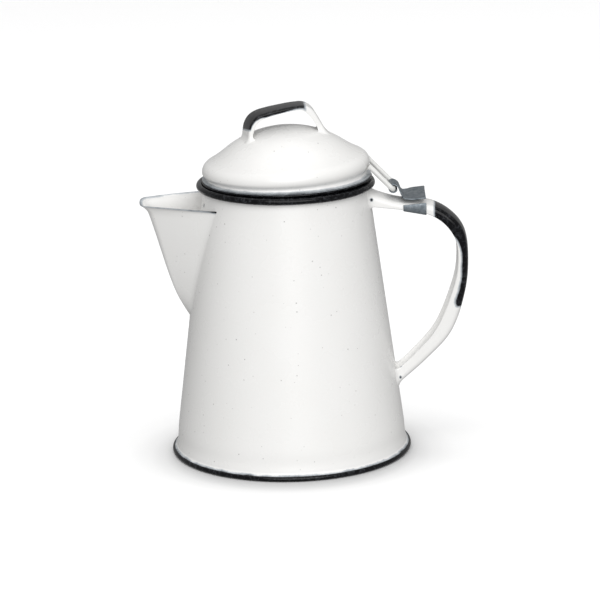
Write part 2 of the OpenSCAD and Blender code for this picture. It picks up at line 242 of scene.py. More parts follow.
class Nodes:
    """Short calls for building one material's node tree."""

    def __init__(self, name):
        self.material = bpy.data.materials.new(name)
        self.material.use_nodes = True
        self.tree = self.material.node_tree
        self.shader = self.tree.nodes["Principled BSDF"]
        self.where = self.tree.nodes.new("ShaderNodeTexCoord").outputs["Object"]

    def add(self, kind, inputs=None, **settings):
        node = self.tree.nodes.new(kind)
        for key, value in settings.items():
            setattr(node, key, value)
        for key, value in (inputs or {}).items():
            self.join(value, node.inputs[key])
        return node

    def join(self, value, socket):
        if isinstance(value, bpy.types.NodeSocket):
            self.tree.links.new(value, socket)
        else:
            socket.default_value = value

    def noise(self, scale, detail=2.0, rough=0.5, distortion=0.0):
        return self.add("ShaderNodeTexNoise", {"Vector": self.where, "Scale": scale,
                        "Detail": detail, "Roughness": rough, "Distortion": distortion}).outputs["Fac"]

    def math(self, operation, a, b=0.0, clamp=False):
        return self.add("ShaderNodeMath", {0: a, 1: b}, operation=operation,
                        use_clamp=clamp).outputs[0]

    def span(self, value, low, high, to_low=0.0, to_high=1.0):
        return self.add("ShaderNodeMapRange", {"Value": value, "From Min": low, "From Max": high,
                        "To Min": to_low, "To Max": to_high}, clamp=True).outputs[0]

    def mix(self, fac, a, b, blend="MIX"):
        node = self.add("ShaderNodeMix", data_type="RGBA", blend_type=blend)
        self.join(fac, node.inputs["Factor"])
        self.join(a, node.inputs["A"])
        self.join(b, node.inputs["B"])
        return node.outputs["Result"]

    def ramp(self, value, stops):
        node = self.add("ShaderNodeValToRGB", {"Fac": value})
        first, last = node.color_ramp.elements
        first.position, first.color = stops[0]
        last.position, last.color = stops[-1]
        for position, color in stops[1:-1]:
            node.color_ramp.elements.new(position).color = color
        return node.outputs["Color"]

    def bump(self, layers):
        """Bump from [height, depth in mm] layers, one over the other."""
        normal = None
        for height, depth in layers:
            inputs = {"Height": height, "Distance": depth * MM, "Strength": 1.0}
            if normal is not None:
                inputs["Normal"] = normal
            normal = self.add("ShaderNodeBump", inputs).outputs["Normal"]
        self.join(normal, self.shader.inputs["Normal"])


def rgb(r, g, b):
    return (r, g, b, 1.0)


def enamel(name, white=(0.87, 0.865, 0.855), flecks=True, edge_noise=0.5, soil=0.0, black_spots=()):
    """Glossy vitreous enamel: white with grey flecks, black where the ink layer says so,
    thinning to blue-grey along the edge between them. The last argument lists [place, radius] in mm
    of round black spots; those on the strap's foot are painted shade."""
    m = Nodes(name)
    mottled = m.noise(30, detail=3)
    shaded = (c * f for c, f in zip(white, (0.965, 0.965, 0.955)))
    ground = m.mix(mottled, rgb(*white), rgb(*shaded))
    if flecks:
        cell = 5.2 * MM
        cells = m.add("ShaderNodeTexVoronoi", {"Vector": m.where, "Scale": 1 / cell,
                      "Randomness": 1.0}, feature="F1")
        shade = m.add("ShaderNodeSeparateColor", {"Color": cells.outputs["Color"]})
        size = m.span(shade.outputs[0], 0.3, 1.0, 0.045, 0.1)
        near = m.math("LESS_THAN", cells.outputs["Distance"], size)
        tone = m.span(shade.outputs[1], 0, 1, 0.12, 0.7)
        ground = m.mix(m.math("MULTIPLY", near, tone), ground, rgb(0.30, 0.30, 0.29))
    if soil:
        grime = m.span(m.noise(160, detail=5, rough=0.7), 0.5, 0.8, 0.0, soil)
        ground = m.mix(grime, ground, rgb(0.42, 0.42, 0.40))
    depth = m.add("ShaderNodeAttribute", attribute_name="ink").outputs["Fac"]
    # round black spots raise the ink depth; those on the strap's foot are painted shade
    for place_mm, radius in black_spots:
        apart = m.add("ShaderNodeVectorMath", {0: m.where, 1: tuple(c * MM for c in place_mm)},
                      operation="DISTANCE").outputs["Value"]
        inside = m.math("SUBTRACT", radius + 0.3, m.math("MULTIPLY", apart, 1 / MM))
        depth = m.math("MAXIMUM", depth, m.math("MULTIPLY", inside, 2.0))
    wave = m.math("SUBTRACT", m.noise(110, detail=4, rough=0.6), 0.5)
    fine = m.math("SUBTRACT", m.noise(700, detail=3, rough=0.6), 0.5)
    edge = m.math("ADD", depth, m.math("MULTIPLY", wave, 2.6 * edge_noise))
    edge = m.math("ADD", edge, m.math("MULTIPLY", fine, 0.8 * edge_noise))
    share = m.span(edge, -0.5, 0.9)
    thin = m.ramp(share, [(0.0, rgb(0, 0, 0)), (0.3, rgb(0.55, 0.55, 0.55)), (1.0, rgb(1, 1, 1))])
    worn = m.span(m.noise(420, detail=5, rough=0.7, distortion=0.6), 0.5, 0.72)
    black = m.mix(worn, rgb(0.003, 0.003, 0.004), rgb(0.045, 0.048, 0.054))
    grey = m.mix(m.span(edge, 0.1, 0.9), rgb(0.26, 0.31, 0.36), black)
    colour = m.mix(thin, ground, grey)
    m.join(colour, m.shader.inputs["Base Color"])
    rough = m.span(m.noise(45, detail=3), 0.3, 0.7, 0.24, 0.32)
    m.join(m.math("SUBTRACT", rough, m.math("MULTIPLY", share, 0.12)), m.shader.inputs["Roughness"])
    m.shader.inputs["IOR"].default_value = 1.45
    m.join(m.span(share, 0, 1, 0.5, 0.22), m.shader.inputs["Specular IOR Level"])
    m.bump([[m.noise(38, detail=1), 0.06], [m.noise(420, detail=2), 0.004], [share, 0.03]])
    return m.material


def galvanised(name):
    """Dull blue-grey zinc on folded sheet, blotched and lightly scratched."""
    m = Nodes(name)
    spangle = m.add("ShaderNodeTexVoronoi", {"Vector": m.where, "Scale": 420.0}, feature="F1")
    shade = m.add("ShaderNodeSeparateColor", {"Color": spangle.outputs["Color"]}).outputs[0]
    blot = m.noise(330, detail=6, rough=0.65)
    base = m.mix(m.span(blot, 0.35, 0.68), rgb(0.10, 0.12, 0.14), rgb(0.25, 0.28, 0.30))
    base = m.mix(m.math("MULTIPLY", shade, 0.3), base, rgb(0.28, 0.31, 0.34))
    m.join(base, m.shader.inputs["Base Color"])
    m.shader.inputs["Metallic"].default_value = 0.7
    m.join(m.span(blot, 0.3, 0.7, 0.5, 0.36), m.shader.inputs["Roughness"])
    m.bump([[blot, 0.05], [m.noise(2200, detail=3), 0.006]])
    return m.material


def spun_aluminium(name):
    """Soft brushed aluminium with the fine rings that spinning leaves."""
    m = Nodes(name)
    parts = m.add("ShaderNodeSeparateXYZ", {"Vector": m.where})
    radius = m.math("SQRT", m.math("ADD", m.math("POWER", parts.outputs[0], 2.0),
                                   m.math("POWER", parts.outputs[1], 2.0)))
    rings = m.add("ShaderNodeCombineXYZ", {"X": radius, "Y": parts.outputs[2]}).outputs[0]
    lines = m.add("ShaderNodeTexNoise", {"Vector": rings, "Scale": 2600.0, "Detail": 3.0})
    lines = lines.outputs["Fac"]
    dull = m.noise(60, detail=4)
    m.join(m.mix(dull, rgb(0.62, 0.62, 0.63), rgb(0.74, 0.74, 0.75)), m.shader.inputs["Base Color"])
    m.shader.inputs["Metallic"].default_value = 1.0
    m.join(m.span(lines, 0.3, 0.7, 0.24, 0.4), m.shader.inputs["Roughness"])
    m.bump([[lines, 0.006]])
    return m.material


WHITE = enamel("white_enamel")
BODY = enamel("body_enamel", edge_noise=0.95, black_spots=[[(-50.2, -14.1, 159.6), 1.0]])
# black spots: one at the strap's root; the two low ones are painted shade in the dark opening and gap
# at the strap's foot, partly bare black iron
STRAP = enamel("strap_enamel", edge_noise=0.55,
               black_spots=[[(52.4, -11.6, 160.0), 0.9], [(68.7, -7.5, 52.8), 0.9], [(68.6, -8, 45.6), 0.8]])
WIRE = enamel("wire_enamel", white=(0.80, 0.80, 0.785), flecks=False, soil=0.35)
BLACK = enamel("black_enamel", edge_noise=0.4)
ZINC = galvanised("galvanised_zinc")
ALUMINIUM = spun_aluminium("spun_aluminium")


# ---- the pot ----

def flare_profile(n=10):
    """Concave flare above the hem, from the flange's edge up to the cone."""
    low, high = math.radians(3), math.radians(75)
    radius = 2.75
    top = FLANGE_Z + radius * (math.sin(high) - math.sin(low))
    out = []
    for a in np.linspace(high, low, n):
        out.append([wall_at(top) + radius * (math.cos(low) - math.cos(a)),
                    top - radius * (math.sin(a) - math.sin(low))])
    return out


def make_body():
    """The rolled cone with its flared foot, drilled behind the spout."""
    flare = flare_profile()
    heights = list(np.linspace(6.2, 22, 12)) + list(np.linspace(30, BEAD_Z, 18))
    outer = flare + [[wall_at(z), z] for z in heights]
    inner = [[wall_at(z) - SHEET, z] for z in reversed(heights)]
    profile = outer + inner + [[cone_at(3) - 0.3, FLANGE_Z - SHEET], [flare[0][0], FLANGE_Z - SHEET]]
    body = lathe("body", profile, segments=256)
    drill_strainer(body)
    ink(body, lambda x, y, z: max(3.6 - z, z - (BEAD_Z - 1.7)))
    return place(body, "pot", "body_shell", BODY)


def drill_strainer(body):
    """Cuts the rows of strainer holes behind the spout, where the frame has them."""
    pitch, drill_r, drill_long = 9, 2.25, 8
    rows, first_z = 5, 104
    bm = bmesh.new()
    for row in range(rows):
        z = first_z + row * pitch * math.sin(math.radians(60))
        for i in range(row + 1):
            turn = math.pi + (i - row / 2) * pitch / cone_at(120)
            middle = Vector((math.cos(turn), math.sin(turn), 0)) * cone_at(z) + Vector((0, 0, z))
            spin = Matrix.Translation(middle * MM) @ Matrix.Rotation(turn, 4, "Z") \
                @ Matrix.Rotation(math.pi / 2, 4, "Y")
            bmesh.ops.create_cone(bm, cap_ends=True, segments=28, radius1=drill_r * MM,
                                  radius2=drill_r * MM, depth=drill_long * MM, matrix=spin)
    mesh = bpy.data.meshes.new("drills")
    bm.to_mesh(mesh)
    bm.free()
    drills = bpy.data.objects.new("drills", mesh)
    bpy.context.scene.collection.objects.link(drills)
    cut = body.modifiers.new("cut", "BOOLEAN")
    cut.object, cut.operation, cut.solver = drills, "DIFFERENCE", "EXACT"
    bpy.context.view_layer.update()
    depsgraph = bpy.context.evaluated_depsgraph_get()
    done = bpy.data.meshes.new_from_object(body.evaluated_get(depsgraph))
    body.modifiers.clear()
    body.data = done
    bpy.data.objects.remove(drills)
    body.data.shade_smooth()
    body.data.set_sharp_from_angle(angle=math.radians(35))


def make_bead():
    """The curled bead at the mouth, a little uneven as it comes off the roller."""
    turn = np.linspace(0, 2 * math.pi, 256, endpoint=False)
    rows = []
    for a in turn:
        out = Vector((math.cos(a), math.sin(a), 0))
        swell = 0.12 * (noise.noise(out * 2.2) - 0.2) + 0.05 * noise.noise(out * 9)
        row = []
        for b in np.linspace(0, 2 * math.pi, 36, endpoint=False):
            half = BEAD_TUBE + min(swell, 0.0)
            r = BEAD_R - 0.35 + (half + 0.35) * math.cos(b)
            row.append((out.x * r, out.y * r, BEAD_Z + half * math.sin(b)))
        rows.append(row)
    bead = grid_piece("mouth_bead", rows, around=True, along=True)
    ink(bead, lambda x, y, z: 1.4 - max(0, 51.0 - math.hypot(x, y)) * 1.5)
    return place(bead, "pot", "rim_bead", BLACK)


def make_hem():
    """The rolled double seam under the flare, black and slightly hand-formed."""
    turn = np.linspace(0, 2 * math.pi, 256, endpoint=False)
    middle = HEM_TUBE - 0.1
    rows = []
    for a in turn:
        out = Vector((math.cos(a), math.sin(a), 0))
        swell = 0.10 * noise.noise(out * 3.1 + Vector((4, 0, 0))) - 0.05
        row = []
        for b in np.linspace(0, 2 * math.pi, 32, endpoint=False):
            r = FOOT_R - HEM_TUBE + (HEM_TUBE + min(swell, 0)) * math.cos(b)
            z = middle + (HEM_TUBE + min(swell, 0)) * math.sin(b)
            row.append((out.x * r, out.y * r, max(0.0, z)))
        rows.append(row)
    hem = grid_piece("foot_hem_ring", rows, around=True, along=True)
    ink(hem, lambda x, y, z: 1.6)
    return place(hem, "pot", "foot_hem", BLACK)


def make_pan():
    """The pressed bottom with its raised middle."""
    pan_z, step_r, step_up = 1.0, 62, 1.2
    edge = FOOT_R - 1.2
    mid_z, top_z = pan_z + step_up, pan_z + step_up + SHEET
    low = [[0, mid_z], [step_r - 3, mid_z], [step_r - 1.6, pan_z + 1.0],
           [step_r - 0.4, pan_z + 0.2], [step_r + 1, pan_z], [edge, pan_z]]
    high = [[edge, pan_z + SHEET], [step_r + 1.4, pan_z + SHEET], [step_r, pan_z + 0.2 + SHEET],
            [step_r - 1.2, pan_z + 1.0 + SHEET], [step_r - 2.6, top_z], [0, top_z]]
    pan = lathe("bottom_pan", low + high, closed=False, segments=128, sharp=50)
    ink(pan, lambda x, y, z: math.hypot(x, y) - (FOOT_R - 4.0))
    return place(pan, "pot", "base_pan", WHITE)


RIDGE = spline([[80, 58], [86, 61.2], [90, 63.5], [98, 67.9], [106, 71.2], [117, 74.8], [129, 78.2],
                [140, 81.3], [150, 84.3], [154.5, 86.0], [SPOUT_Z, 90.1]], 8)
FLANK = spline([[80, 3.5], [88, 6.0], [96, 9.5], [106, 12.8], [117, 16.6], [129, 20.2],
                [142, 24.0], [152, 26.6], [SPOUT_Z, 28.4]], 8)


def spout_section(z, offset):
    """Points of the spout's sheet at a height, set off its middle by offset: from the far
    side on the body, round the folded nose, to the near side."""
    tip = np.interp(z, RIDGE[:, 0], RIDGE[:, 1]) - SHEET / 2
    half = np.interp(z, FLANK[:, 0], FLANK[:, 1])
    nose = 1.6 + (z - 80) * 0.085
    middle = tip - nose
    run = middle - math.sqrt(cone_at(z) ** 2 - half ** 2)
    steepest = math.radians(66)
    open_angle = math.acos(min(1, nose / math.hypot(half, run)))
    flank = min(steepest, open_angle - math.atan2(run, half))
    wrap = math.pi / 2 - flank
    turn_at = np.array([-(middle + nose * math.sin(flank)), nose * math.cos(flank)])
    along = np.array([math.cos(flank), math.sin(flank)])
    # where the flank meets the body's circle
    r = cone_at(z) - 0.15
    b = turn_at.dot(along)
    meet = -b - math.sqrt(max(0.0, b * b - turn_at.dot(turn_at) + r * r))
    hit = turn_at + along * meet
    fillet = min(2.6, 0.45 * meet)
    angle = math.atan2(hit[1], hit[0]) - fillet * 1.15 / r
    end = (r - 0.1) * np.array([math.cos(angle), math.sin(angle)])
    start = hit - along * fillet
    far = [start * (1 - t) ** 2 + 2 * t * (1 - t) * hit + t * t * end for t in np.linspace(1, 0, 8)]
    straight = [start + (turn_at - start) * t for t in np.linspace(0, 1, 12)[1:-1]]
    nose_arc = [np.array([-(middle + nose * math.cos(a)), nose * math.sin(a)])
                for a in np.linspace(wrap, 0, 12)]
    upper = far + straight + nose_arc
    line = np.array(upper + [p * (1, -1) for p in reversed(upper[:-1])])
    normal = sheet_normals(line)
    fade = np.ones(len(line))
    fade[:6] = fade[-6:][::-1] = [0.3, 0.45, 0.6, 0.75, 0.9, 1.0]
    line = line - normal * (offset * fade)[:, None]
    return line


# how far the mouth's rim stands over or under level, from the body (0) to the nose (1)
FAR_RIM = [[0, 0.25, 0.5, 0.75, 0.9, 1], [0.2, 1.0, 1.9, 2.1, 1.6, 0.5]]
NEAR_RIM = [[0, 0.25, 0.6, 0.8, 0.9, 1], [0.2, -0.1, -0.6, -0.9, -0.7, 0.5]]


def rim_ink(p, along, side, below):
    """Blue-grey on the spout's edge, worn black where its near side meets the body."""
    if side > 0:
        worn, band = 0.3 * max(0.0, 1 - along * 3), 0.3
    else:
        worn, band = max(0.0, 1 - along * 2.4), 0.75 - 0.35 * along
    return min(band - below + 0.9 * worn, 0.3 + 1.2 * worn)


def make_spout():
    """The folded beak: two flanks and a rounded nose, its lip rolled slightly outwards."""
    top = SPOUT_Z
    levels = [(z, SHEET / 2) for z in np.linspace(83, top - 3.2, 46)]
    levels += [(z, SHEET / 2) for z in np.linspace(top - 2.8, top - 1.6, 4)]
    levels += [(top - 1.3, 0.52), (top - 1.0, 0.64), (top - 0.7, 0.72), (top - 0.4, 0.66),
               (top - 0.18, 0.5), (top - 0.04, 0.28), (top, 0.08)]
    rows, marks = [], []
    for z, half in levels:
        out_line, in_line = spout_section(min(z, top), half), spout_section(min(z, top), -half)
        n = len(out_line)
        lip = max(0.0, (z - (top - 3.0)) / 3.0) ** 2
        lean = np.array([1.0 + 0.2 * math.cos(4 * math.pi * i / (n - 1)) for i in range(n)])
        row = []
        for line in (out_line, in_line[::-1]):
            for i, (x, y) in enumerate(line):
                j = i if line is out_line else n - 1 - i
                share = abs(2 * j / (n - 1) - 1)
                flare = lip * 1.1 * (1 - share ** 6) * lean[j]
                away = np.array([x + 56, y * 1.4])
                away /= np.linalg.norm(away)
                along = 1 - share
                high = FAR_RIM if y > 0 else NEAR_RIM
                rise = min(1.0, max(0.0, (z - top + 12) / 12)) ** 2 * np.interp(along, *high)
                row.append((x + away[0] * flare * 0.4, y + away[1] * flare, z + rise))
                marks.append((along, 1 if y > 0 else -1, top - z))
        rows.append(row)
    spout = grid_piece("beak_spout", rows, around=True, sharp=60)
    nearest_ink(spout, np.asarray(rows, float), marks, rim_ink)
    return place(spout, "pot", "spout_shell", STRAP)


# ---- the handle and the hinge ----

STRAP_FACE = [[50, 165.2], [59, 161.4], [70, 158.4], [88, 156.4], [101, 149.9], [109.8, 138.8],
              [112.2, 122], [110.4, 100], [102, 74.5], [86.5, 56.6], [70, 41.8], [60, 33.5]]
STRAP_LIPS = [[50, 155.8], [59, 154.6], [70, 153.2], [85, 150.7], [96.5, 144.2], [104, 133],
              [105.3, 118], [102.2, 102], [92, 77], [78, 60.4], [67, 50.3], [58, 43]]


def channel_section(width, depth, sheet, corner, crown, hollow):
    """Closed outline [across, down] of a channel with rolled sides, open downwards.
    hollow is how deep the channel is from its lips."""
    half = width / 2
    corner = min(corner, depth * 0.8, half * 0.8)
    outer = [[-half + 0.12 * corner, depth], [-half, depth - 0.5]]
    outer += [[-half, d] for d in np.linspace(depth - 0.5, corner, 4)[1:]]
    outer += [[-half + corner * (1 - math.cos(a)), corner * (1 - math.sin(a))]
              for a in np.linspace(0, math.pi / 2, 8)[1:]]
    flat = half - corner
    outer += [[x, -crown * (1 - (x / flat) ** 2)] for x in np.linspace(-flat, 0, 6)[1:]]
    outer += [[-x, d] for x, d in reversed(outer[:-1])]
    top = max(sheet, depth - hollow)
    inner_corner = min(max(0.3, corner - sheet), 0.8 * (depth - top))
    reach = half - sheet - inner_corner
    inner = [[half - sheet, depth]]
    inner += [[half - sheet, d] for d in np.linspace(depth, top + inner_corner, 4)[1:]]
    inner += [[reach + inner_corner * math.cos(a), top + inner_corner * (1 - math.sin(a))]
              for a in np.linspace(0, math.pi / 2, 6)[1:]]
    inner += [[x, top - crown * (1 - (x / reach) ** 2)] for x in np.linspace(reach, 0, 6)[1:]]
    inner += [[-x, d] for x, d in reversed(inner[:-1])]
    return np.array([[x, d + crown * (1 - d / depth)] for x, d in outer + inner])


def sweep_channel(name, face, lips, width_at, sheet, corner, crown, hollow):
    """A channel strap whose outer face runs along one curve and its lips along another.
    Points are [along, up], in the XZ plane."""
    face, lips = spline(face, 12), spline(lips, 12)
    rows, marks = [], []
    length = np.concatenate([[0], np.cumsum(np.linalg.norm(np.diff(face, axis=0), axis=1))])
    for i, (f, l) in enumerate(zip(face, lips)):
        depth = np.linalg.norm(l - f)
        down = (l - f) / depth
        row = []
        for x, d in channel_section(width_at(f), depth, sheet, corner, crown, hollow):
            q = f + down * d
            row.append((q[0], x, q[1]))
            marks.append((length[i] / length[-1], x / width_at(f) * 2, d / depth))
        rows.append(row)
    rows = np.asarray(rows, float)
    m, n = rows.shape[:2]
    obj = piece(name, rows.reshape(-1, 3), grid_faces(m, n, True, False), sharp=50)
    return obj, rows, marks


def nearest_ink(obj, rows, marks, rule):
    """Ink from a rule on (share of the length, across -1 to 1, share of the depth)."""
    flat = rows.reshape(-1, 3)
    tree = KDTree(len(flat))
    for i, p in enumerate(flat):
        tree.insert(Vector(p) * MM, i)
    tree.balance()
    nearest = [tree.find(v.co)[1] for v in obj.data.vertices]
    store_ink(obj, [rule(flat[i], *marks[i]) for i in nearest])


def strap_ink(p, along, across, down):
    """Hand-dipped black on the grip: all round the upper bend, then only its outer side."""
    x, _, z = p
    if z > 120:
        inside = min(x - 91.3 - 0.7 * across, 60)
    else:
        inside = z - 90.0
    limit = np.interp(z, [90, 92, 96, 100, 110, 125, 131, 137, 142],
                      [0.4, 0.62, 0.68, 0.62, 0.66, 0.74, 0.86, 1.1, 1.5])
    return min(inside, (limit - down) * 7)


def make_handle():
    """The pressed strap, from under the mouth round to the foot, open towards the body."""
    width = lambda f: np.interp(f[1], [30, 140], [16, STRAP_W])
    obj, rows, marks = sweep_channel("handle_grip", STRAP_FACE, STRAP_LIPS, width, 1.2, 3.6, 0.8, 3.0)
    nearest_ink(obj, rows, marks, strap_ink)
    cut_inside(obj, lambda p: math.hypot(p.x, p.y) - (cone_at(p.z) - 0.35))
    off_wall = lambda p: math.hypot(p.x, p.y) - cone_at(p.z)
    outward = lambda p: Vector((p.x, p.y, 0)).normalized()
    stop_in_sheet(obj, off_wall, outward)
    flow_onto(obj, off_wall, outward, reach=3.2)
    return place(obj, "pot", "handle_strap", STRAP)


def cut_inside(obj, distance):
    """Drops the faces that lie wholly deeper under a surface than the kept depth."""
    kept = 1.2
    bm = bmesh.new()
    bm.from_mesh(obj.data)
    hidden = [f for f in bm.faces if all(distance(v.co / MM) < -kept for v in f.verts)]
    bmesh.ops.delete(bm, geom=hidden, context="FACES")
    bm.to_mesh(obj.data)
    bm.free()


def stop_in_sheet(obj, distance, direction):
    """Lifts what lies deeper than the middle of the sheet, so that no foot shows behind it."""
    deepest = -SHEET / 2
    for v in obj.data.vertices:
        p = v.co / MM
        if distance(p) < deepest:
            v.co += direction(p) * (deepest - distance(p)) * MM


def make_clip():
    """The galvanised strip: curled on the hinge wire, then wrapped round the strap."""
    t = 0.8
    # curl, neck and top plate are one bent sheet, wider from the neck on
    curl_r = 2.5
    ring = [[HINGE.x + curl_r * math.sin(a), HINGE.z + curl_r * math.cos(a)]
            for a in np.radians(np.linspace(-250, 20, 28))]
    neck = spline([ring[-1], [69.2, 166.7], [70.7, 163.1], [72.4, 160.8], [74.5, 160.45]], 8)[1:]
    top = [[x, 160.5 + (x - 75) * 0.09] for x in np.linspace(76, 85.9, 8)]
    line = np.array(ring + list(neck) + top)
    normal = sheet_normals(line)
    rows = []
    for p, n in zip(line, normal):
        spread = np.interp(p[0], [70.6, 71.9], [CURL_W / 2, STRAP_W / 2 + t])
        if p[1] > 166.4:
            spread = CURL_W / 2
        a, b = p - n * t / 2, p + n * t / 2
        rise = 0.09 if p[0] > 72 else 0.0
        ys = np.linspace(-spread, spread, 9)
        row = [(a[0], y, a[1] + y * rise * min(1, (p[0] - 72) / 6)) for y in ys]
        row += [(b[0], y, b[1] + y * rise * min(1, (p[0] - 72) / 6)) for y in ys[::-1]]
        rows.append(row)
    clip = capped_piece("hinge_clip_sheet", rows)
    # the band under the strap with its two turned-up sides
    under = lambda x: 153.26 - 0.195 * (x - 70) - t / 2
    half = STRAP_W / 2 + t / 2
    rows = []
    start, end = 72.0, 86.1
    for x in np.linspace(start, end, 12):
        f = (x - start) / (end - start)
        near = np.interp(f, [0, 1], [156.2, 157.4])
        far = np.interp(f, [0, 1], [161.2, 162.6])
        low = under(x)
        corner = [(half, 1.6), (half - 0.15, 0.7), (half - 0.7, 0.15), (half - 1.6, 0.0)]
        mid = [(-half, near)] + [(-y, low + up) for y, up in corner]
        mid += [(y, low) for y in np.linspace(-half + 2.5, half - 2.5, 6)]
        mid += [(y, low + up) for y, up in reversed(corner)] + [(half, far)]
        mid = np.array(mid)
        normal = sheet_normals(mid)
        a, b = mid + normal * t / 2, mid - normal * t / 2
        rows.append([(x, y, z) for y, z in a] + [(x, y, z) for y, z in b[::-1]])
    band = capped_piece("hinge_clip_band", rows)
    for part in (clip, band):
        soften(part, 0.16)
    clip = join([clip, band], "hinge_clip_sheet")
    return place(clip, "pot", "hinge_clip", ZINC)


def soften(obj, width):
    """Rounds the crisp edges of a sheet piece."""
    mod = obj.modifiers.new("edge", "BEVEL")
    mod.width, mod.segments, mod.limit_method = width * MM, 2, "ANGLE"
    mod.angle_limit = math.radians(40)
    bpy.context.view_layer.update()
    depsgraph = bpy.context.evaluated_depsgraph_get()
    done = bpy.data.meshes.new_from_object(obj.evaluated_get(depsgraph))
    obj.modifiers.clear()
    obj.data = done
    obj.data.shade_smooth()
    obj.data.set_sharp_from_angle(angle=math.radians(50))


def join(parts, name):
    """Makes one object of several."""
    bm = bmesh.new()
    for part in parts:
        bm.from_mesh(part.data)
    mesh = bpy.data.meshes.new(name)
    bm.to_mesh(mesh)
    bm.free()
    for part in parts:
        bpy.data.objects.remove(part)
    obj = bpy.data.objects.new(name, mesh)
    bpy.context.scene.collection.objects.link(obj)
    obj.data.shade_smooth()
    obj.data.set_sharp_from_angle(angle=math.radians(50))
    return obj


def make_loop():
    """The enamelled wire loop: a bar in the curl and two legs up to the lid's shoulder."""
    rise = math.radians(133.8)
    leg = Vector((math.cos(rise), 0, math.sin(rise)))
    corner, leg_y, length = 3.0, 12.0, 21.5
    bar = [Vector((0, y, 0)) for y in np.linspace(0, leg_y - corner, 8)]
    turn = [Vector((corner * (1 - math.cos(a)), leg_y - corner + corner * math.sin(a), 0))
            for a in np.linspace(0, math.pi / 2, 10)[1:]]
    up = [Vector((s, leg_y, 0)) for s in np.linspace(corner, length, 16)[1:]]
    half = [(p.x, p.y) for p in bar + turn + up]
    full = [(s, -y) for s, y in reversed(half)] + half[1:]
    points = [HINGE + leg * s + Vector((0, y, 0)) for s, y in full]
    loop = tube("lid_wire_loop", points, WIRE_R, sides=24)
    ink(loop, lambda x, y, z: -5)
    flow_onto(loop, lid_height, lid_normal, reach=2.4)
    return place(loop, "lid", "hinge_loop", WIRE)


# ---- the lid ----

def lid_path():
    """Outer face of the lid from its middle over the shoulder and in under it to the brim."""
    dome_rad, dome_slope = 62.2, 37.1
    sweep_rad, sweep_slope = 73, 27.4
    tuck_rad, tuck_slope, neck_rad = 3.9, 150, 1.4
    dome = bend([0, 0], dome_rad, 0, dome_slope, 20)
    sweep = bend(dome[-1], sweep_rad, dome_slope, sweep_slope, 5)
    roll = bend(sweep[-1], SHOULDER, sweep_slope, 90, 14)
    tuck = bend(roll[-1], tuck_rad, 90, tuck_slope, 8)
    neck = bend(tuck[-1], neck_rad, tuck_slope, 0, 8)
    drop, out = roll[-1][1], LID_R - roll[-1][0]
    path = dome + sweep[1:] + roll[1:] + tuck[1:] + neck[1:]
    path = [[r + out * r / roll[-1][0] if r > 0 else 0.0, z - drop, a] for r, z, a in path]
    return path + [[(path[-1][0] + BRIM_R) / 2, path[-1][1], 0], [BRIM_R - 0.4, path[-1][1], 0],
                   [BRIM_R - 0.1, path[-1][1] - 0.12, 40]]


LID_PATH = lid_path()
LEAN = math.radians(LID_LEAN)
BRIM_AT = BRIM_R * math.cos(LEAN) - (BRIM_DROP + SHEET) * math.sin(LEAN) - LID_X
LID_Z = (BEAD_Z + math.sqrt(BEAD_TUBE ** 2 - (BEAD_R - BRIM_AT) ** 2) + 0.15
         + BRIM_R * math.sin(LEAN) + (BRIM_DROP + SHEET) * math.cos(LEAN))
LID_MATRIX = Matrix.Translation((LID_X, 0, LID_Z)) @ Matrix.Rotation(math.radians(-LID_LEAN), 4, "Y")
DOME_R = [p[0] for p in LID_PATH if p[2] <= 60 and p[1] > 0]
DOME_H = [p[1] for p in LID_PATH if p[2] <= 60 and p[1] > 0]


def lid_height(p):
    """Roughly how far a point lies over the lid's dome or off its shoulder."""
    q = LID_MATRIX.inverted() @ Vector(p)
    r = math.hypot(q.x, q.y)
    if r > DOME_R[-1]:
        return math.hypot(r - (LID_R - SHOULDER), q.z) - SHOULDER
    return (q.z - np.interp(r, DOME_R, DOME_H)) * 0.88


def lid_normal(p):
    """Direction in which lid_height grows fastest."""
    e = 0.05
    grad = Vector([lid_height(p + Vector(d) * e) - lid_height(p - Vector(d) * e)
                   for d in ((1, 0, 0), (0, 1, 0), (0, 0, 1))])
    return grad.normalized()


def on_lid(obj):
    """Moves a mesh made about the lid's own axis to where the lid stands."""
    obj.data.transform(Matrix.Translation(LID_MATRIX.translation * MM)
                       @ LID_MATRIX.to_3x3().to_4x4())
    return obj


def settle(obj):
    """Levels the lid's lower edge: it stands truer on the mouth than the leaning dome."""
    level = math.tan(math.radians(LID_LEAN - BRIM_LEAN))
    for v in obj.data.vertices:
        v.co.z -= v.co.x * level * min(1.0, max(0.0, -v.co.z / (BRIM_DROP * MM)))
    return obj


def make_lid():
    """The pressed dome with its rolled shoulder and narrow brim."""
    lid = lathe("lid_dome_shell", both_faces(LID_PATH, SHEET), closed=False, segments=256, sharp=70)
    brim_z = LID_PATH[-2][1]
    ink(lid, lambda x, y, z: min(0.35, math.hypot(x, y) - 49.7) if z < brim_z + 1.1 else -5)
    on_lid(settle(lid))
    return place(lid, "lid", "lid_dome", WHITE)


def make_skirt():
    """The ring under the brim that centres the lid in the mouth."""
    low = LID_PATH[-2][1] - SHEET
    t, r, depth = 0.7, 48.8, 9.5
    lap = 1.9
    profile = [[r - t, low - depth], [r - t / 2, low - depth - 0.15], [r, low - depth],
               [r, low - lap - 0.6], [r + 0.2, low - lap - 0.15], [r + 0.6, low - lap],
               [r + 1.5, low - lap + 0.1],
               [r + 2.7, low - lap + 0.5], [r + 3.4, low - 1.1], [r + 3.7, low - 0.7],
               [r + 3.6, low - 0.25], [r + 3.2, low],
               [r - t + 0.5, low], [r - t, low - 0.4]]
    skirt = lathe("lid_skirt_ring", profile, segments=192)
    ink(skirt, lambda x, y, z: 2 if math.hypot(x, y) > r - 0.1 else -5)
    on_lid(settle(skirt))
    return place(skirt, "lid", "lid_skirt", WHITE)


